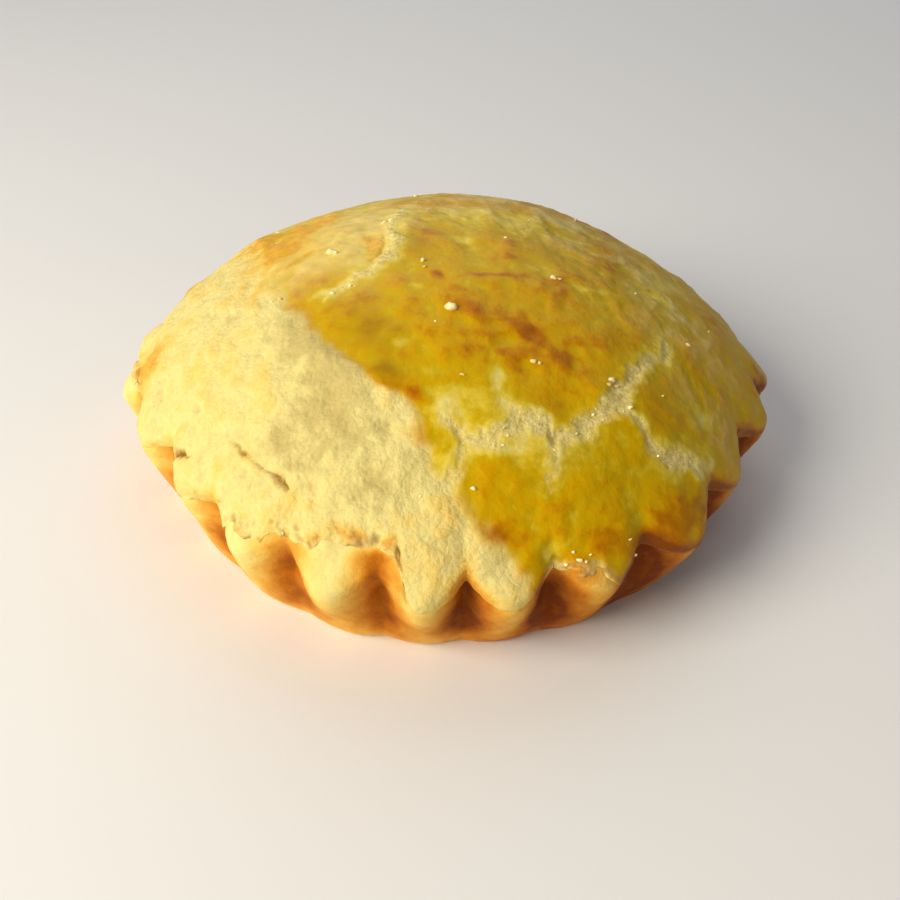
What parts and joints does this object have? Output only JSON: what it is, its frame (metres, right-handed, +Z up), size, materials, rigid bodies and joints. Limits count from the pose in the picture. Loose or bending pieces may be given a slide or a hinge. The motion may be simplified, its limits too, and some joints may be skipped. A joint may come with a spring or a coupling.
{
  "type": "chicken pie",
  "caption": "Whole individual savoury pie of shortcrust pastry: a fluted case that flares from a flat underside, under a domed lid whose lobed edge meets the case.",
  "frame": {"origin": "centre of the flat underside", "axes": "+Z up through the middle of the dome; -Y towards the side that shows the pale, unglazed front of the lid"},
  "size_m": [0.1088, 0.1056, 0.0404],
  "materials": {
    "case_crust": "matte baked shortcrust",
    "glazed_lid": "baked shortcrust, egg-washed over most of it"
  },
  "bodies": {
    "root": {"pastry_case": "case_crust", "pastry_lid": "glazed_lid"}
  },
  "joints": []
}
